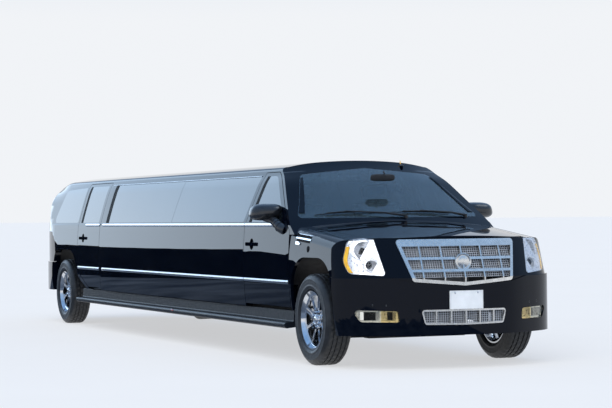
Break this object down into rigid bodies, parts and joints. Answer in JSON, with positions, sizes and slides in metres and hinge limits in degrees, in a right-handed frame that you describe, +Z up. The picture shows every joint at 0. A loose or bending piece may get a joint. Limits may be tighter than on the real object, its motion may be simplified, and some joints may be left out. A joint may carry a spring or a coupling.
{
  "type": "stretch limousine",
  "caption": "Long-wheelbase luxury limousine with hinged doors, bonnet and tailgate, steered front wheels, free-rolling wheels and a lounge cabin with dark glass.",
  "frame": {"origin": "on the ground under the middle of the vehicle's length and width", "axes": "+X forward, +Y to the vehicle's left, +Z up"},
  "size_m": [10.257, 2.444, 1.822],
  "materials": {
    "body_paint": "high gloss black clear coat",
    "privacy_glass": "dark tinted, polished",
    "windscreen_glass": "blue tinted, polished",
    "tail_lamp_lens": "clear moulded lens",
    "lamp_lens": "clear moulded lens",
    "lamp_reflector": "bright plated bowls",
    "fog_lens": "amber tinted lens",
    "grille_silver": "satin bright plating",
    "black_plastic": "fine grain",
    "mirror_shell": "smooth moulded",
    "underbody": "matt underbody coating",
    "engine_metal": "cast",
    "knuckle_iron": "as cast with turned disc",
    "running_board": "ribbed moulding",
    "tyre": "rubber with satin sidewall",
    "wheel_chrome": "polished",
    "interior_plastic": "grained",
    "seat_leather": "stitched",
    "cabinet": "lacquered",
    "plate_white": "satin"
  },
  "bodies": {
    "vehicle": {"bar_cabinet": "cabinet", "chassis_frame": "underbody", "cowl_panel": "black_plastic", "dashboard": "interior_plastic", "driveline": "underbody", "engine_block": "engine_metal", "floor_pan": "underbody", "fog_lamps": "fog_lens", "front_bumper": "body_paint", "front_plate": "plate_white", "front_seats": "seat_leather", "front_suspension": "underbody", "front_wings": "body_paint", "fuel_tank": "underbody", "grille_frames": "grille_silver", "grille_mesh": "black_plastic", "headlamps": "lamp_lens", "lamp_reflectors": "lamp_reflector", "lounge_bench": "seat_leather", "partition": "cabinet", "quarter_panel_left": "body_paint", "quarter_panel_right": "body_paint", "rear_axle": "underbody", "rear_bumper": "body_paint", "rear_seat": "seat_leather", "roof_panel": "body_paint", "running_boards": "running_board", "side_glass": "privacy_glass", "side_wall_left": "body_paint", "side_wall_right": "body_paint", "steering_wheel": "interior_plastic", "tail_lamps": "tail_lamp_lens", "wheel_housings": "black_plastic", "windscreen": "windscreen_glass", "windscreen_frame": "body_paint"},
    "front_door_right": {"front_door_right": "body_paint", "front_door_right_glass": "privacy_glass", "mirror_right": "mirror_shell"},
    "front_door_left": {"front_door_left": "body_paint", "front_door_left_glass": "privacy_glass", "mirror_left": "mirror_shell"},
    "rear_door_right": {"rear_door_right": "body_paint", "rear_door_right_glass": "privacy_glass"},
    "rear_door_left": {"rear_door_left": "body_paint", "rear_door_left_glass": "privacy_glass"},
    "bonnet": {"bonnet": "body_paint"},
    "tailgate": {"tailgate": "body_paint", "tailgate_glass": "privacy_glass"},
    "knuckle_right": {"knuckle_right": "knuckle_iron"},
    "knuckle_left": {"knuckle_left": "knuckle_iron"},
    "wheel_front_right": {"tyre_front_right": "tyre", "rim_front_right": "wheel_chrome"},
    "wheel_front_left": {"tyre_front_left": "tyre", "rim_front_left": "wheel_chrome"},
    "wheel_rear_right": {"tyre_rear_right": "tyre", "rim_rear_right": "wheel_chrome"},
    "wheel_rear_left": {"tyre_rear_left": "tyre", "rim_rear_left": "wheel_chrome"}
  },
  "joints": [
    {"name": "front_door_right_hinge", "type": "hinge", "parent": "vehicle", "child": "front_door_right", "pos_m": [3.6555, -1.003, 0.8], "axis": [0, 0, 1], "range_deg": [0, 65]},
    {"name": "rear_door_right_hinge", "type": "hinge", "parent": "vehicle", "child": "rear_door_right", "pos_m": [-2.2745, -1.003, 0.8], "axis": [0, 0, 1], "range_deg": [0, 65]},
    {"name": "front_door_left_hinge", "type": "hinge", "parent": "vehicle", "child": "front_door_left", "pos_m": [3.6555, 1.003, 0.8], "axis": [0, 0, -1], "range_deg": [0, 65]},
    {"name": "rear_door_left_hinge", "type": "hinge", "parent": "vehicle", "child": "rear_door_left", "pos_m": [-2.2745, 1.003, 0.8], "axis": [0, 0, -1], "range_deg": [0, 65]},
    {"name": "bonnet_hinge", "type": "hinge", "parent": "vehicle", "child": "bonnet", "pos_m": [3.8495, 0, 1.228], "axis": [0, -1, 0], "range_deg": [0, 50]},
    {"name": "tailgate_hinge", "type": "hinge", "parent": "vehicle", "child": "tailgate", "pos_m": [-4.8551, 0, 1.77], "axis": [0, 1, 0], "range_deg": [0, 85]},
    {"name": "steer_right", "type": "hinge", "parent": "vehicle", "child": "knuckle_right", "pos_m": [4.1055, -0.79, 0.393], "axis": [0, 0, 1], "range_deg": [-32, 32]},
    {"name": "steer_left", "type": "hinge", "parent": "vehicle", "child": "knuckle_left", "pos_m": [4.1055, 0.79, 0.393], "axis": [0, 0, 1], "range_deg": [-32, 32]},
    {"name": "spin_front_right", "type": "hinge", "parent": "knuckle_right", "child": "wheel_front_right", "pos_m": [4.1055, -0.866, 0.393], "axis": [0, 1, 0], "continuous": true},
    {"name": "spin_front_left", "type": "hinge", "parent": "knuckle_left", "child": "wheel_front_left", "pos_m": [4.1055, 0.866, 0.393], "axis": [0, 1, 0], "continuous": true},
    {"name": "spin_rear_right", "type": "hinge", "parent": "vehicle", "child": "wheel_rear_right", "pos_m": [-3.9205, -0.851, 0.393], "axis": [0, 1, 0], "continuous": true},
    {"name": "spin_rear_left", "type": "hinge", "parent": "vehicle", "child": "wheel_rear_left", "pos_m": [-3.9205, 0.851, 0.393], "axis": [0, 1, 0], "continuous": true}
  ],
  "couplings": [
    {"joint": "steer_left", "follows": "steer_right", "ratio": 1}
  ]
}
